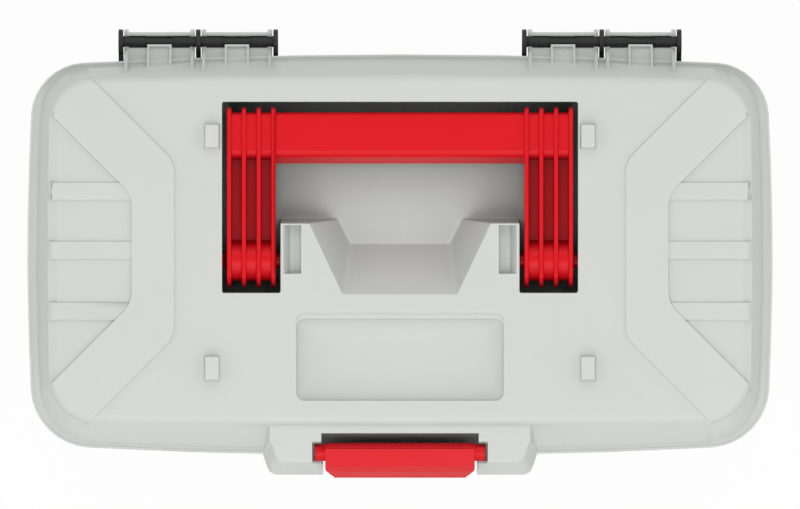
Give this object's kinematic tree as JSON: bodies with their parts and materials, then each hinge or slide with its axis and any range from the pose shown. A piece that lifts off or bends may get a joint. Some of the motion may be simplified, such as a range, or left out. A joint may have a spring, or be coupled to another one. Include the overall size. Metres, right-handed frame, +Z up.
{
  "type": "art supply box",
  "caption": "Rectangular storage box with a hinged translucent lid, a sunken folding carry handle, a front latch and a lift-out tray.",
  "frame": {"origin": "on the floor, under the middle of the lid", "axes": "+X to the right seen from the front, -Y the latch side, +Y the hinge side, +Z up"},
  "size_m": [0.4, 0.241, 0.19],
  "materials": {
    "black_tub": "fine satin moulded polypropylene",
    "milky_lid": "satin translucent polypropylene",
    "red_handle": "semi-gloss moulded polypropylene",
    "red_latch": "semi-gloss moulded polypropylene",
    "grey_tray": "satin moulded polypropylene"
  },
  "bodies": {
    "tub": {"base_tub": "black_tub", "hinge_rod_left": "black_tub", "hinge_rod_right": "black_tub"},
    "lid": {"lid": "milky_lid"},
    "handle": {"carry_handle": "red_handle"},
    "latch": {"latch": "red_latch"},
    "tray": {"lift_out_tray": "grey_tray", "tray_divider_left": "grey_tray", "tray_divider_middle": "grey_tray", "tray_divider_right": "grey_tray"}
  },
  "joints": [
    {"name": "lid_hinge", "type": "hinge", "parent": "tub", "child": "lid", "pos_m": [0, 0.1147, 0.1337], "axis": [-1, 0, 0], "range_deg": [0, 105]},
    {"name": "handle_pivot", "type": "hinge", "parent": "lid", "child": "handle", "pos_m": [0, -0.0029, 0.174], "axis": [1, 0, 0], "range_deg": [0, 90]},
    {"name": "latch_pivot", "type": "hinge", "parent": "lid", "child": "latch", "pos_m": [0, -0.1056, 0.176], "axis": [-1, 0, 0], "range_deg": [0, 110]},
    {"name": "tray_lift", "type": "slide", "parent": "tub", "child": "tray", "axis": [0, 0, 1], "range_m": [0, 0.008]}
  ]
}
